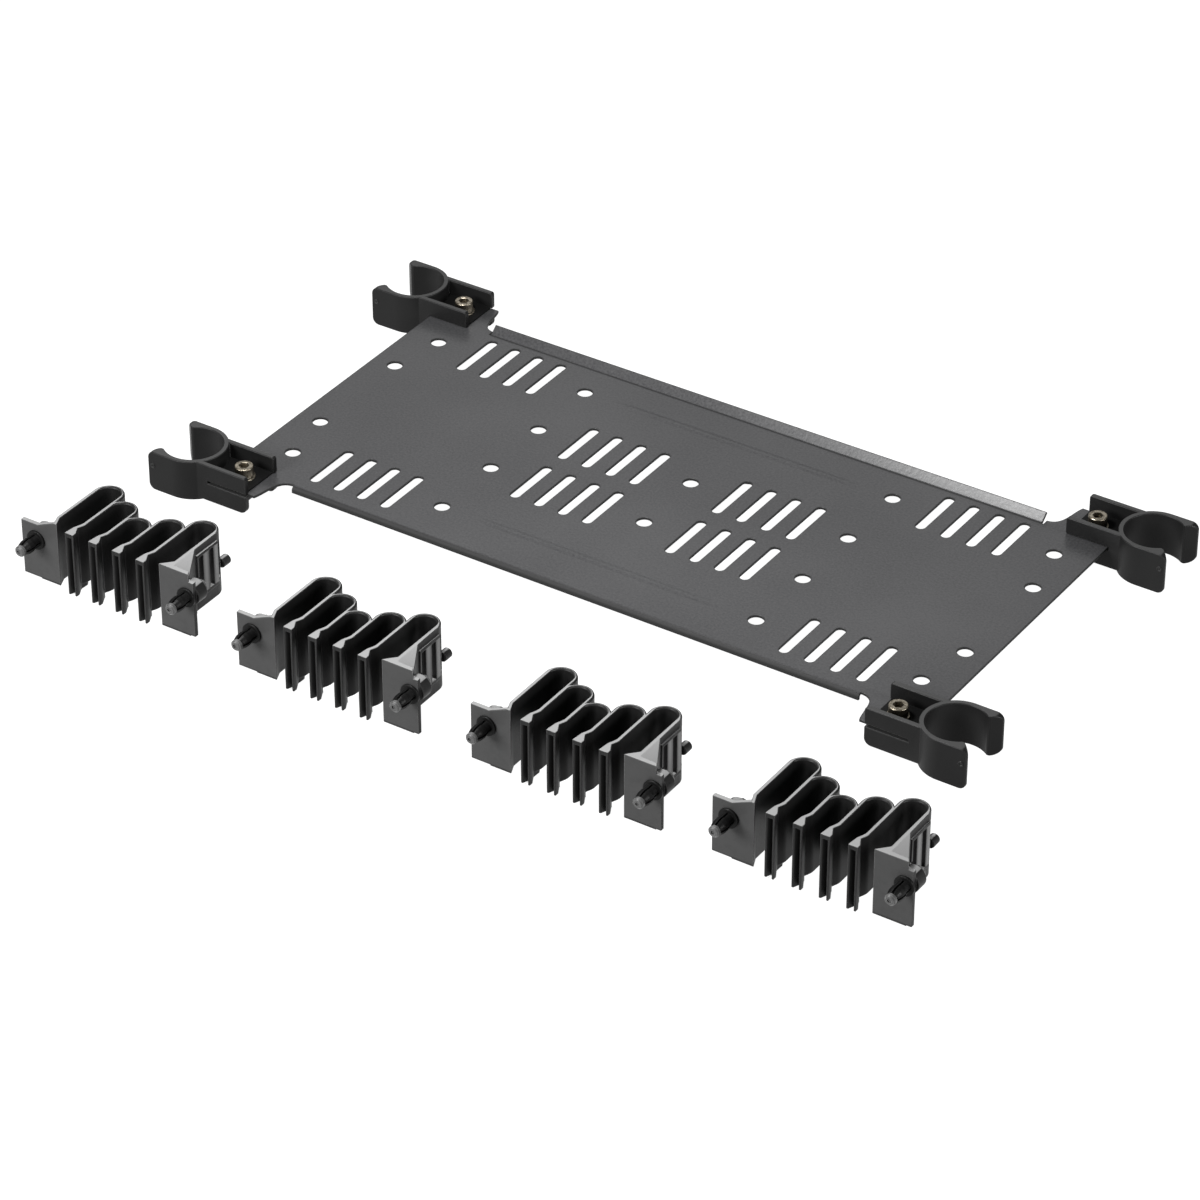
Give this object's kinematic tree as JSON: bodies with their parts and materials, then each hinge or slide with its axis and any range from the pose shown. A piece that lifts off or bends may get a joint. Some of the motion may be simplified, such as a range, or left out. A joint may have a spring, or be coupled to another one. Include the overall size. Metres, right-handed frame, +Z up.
{
  "type": "rack cable manager",
  "caption": "Folded, slotted sheet shelf with clip-on post clamps at its corners, and loose five-channel cable combs with push rivets that fit its holes.",
  "frame": {"origin": "centre of the sheet's top face", "axes": "+X along the sheet's long side, +Y towards its raised edge and away from the combs, +Z up"},
  "size_m": [0.5343, 0.3636, 0.0375],
  "materials": {
    "sheet": "satin dark grey paint",
    "clamp": "satin black moulding",
    "comb": "satin black moulding",
    "rivet": "satin black moulding",
    "rivet_pin": "satin black moulding",
    "screw": "plated steel"
  },
  "bodies": {
    "root": {"shelf_sheet": "sheet", "post_clamp_front_left": "clamp", "clamp_screw_front_left": "screw", "clamp_washer_front_left": "screw", "clamp_nut_front_left": "screw", "post_clamp_front_right": "clamp", "clamp_screw_front_right": "screw", "clamp_washer_front_right": "screw", "clamp_nut_front_right": "screw", "post_clamp_rear_left": "clamp", "clamp_screw_rear_left": "screw", "clamp_washer_rear_left": "screw", "clamp_nut_rear_left": "screw", "post_clamp_rear_right": "clamp", "clamp_screw_rear_right": "screw", "clamp_washer_rear_right": "screw", "clamp_nut_rear_right": "screw", "cable_comb_1": "comb", "rivet_sleeve_1_left": "rivet", "rivet_pin_1_left": "rivet_pin", "rivet_sleeve_1_right": "rivet", "rivet_pin_1_right": "rivet_pin", "cable_comb_2": "comb", "rivet_sleeve_2_left": "rivet", "rivet_pin_2_left": "rivet_pin", "rivet_sleeve_2_right": "rivet", "rivet_pin_2_right": "rivet_pin", "cable_comb_3": "comb", "rivet_sleeve_3_left": "rivet", "rivet_pin_3_left": "rivet_pin", "rivet_sleeve_3_right": "rivet", "rivet_pin_3_right": "rivet_pin", "cable_comb_4": "comb", "rivet_sleeve_4_left": "rivet", "rivet_pin_4_left": "rivet_pin", "rivet_sleeve_4_right": "rivet", "rivet_pin_4_right": "rivet_pin"}
  },
  "joints": []
}
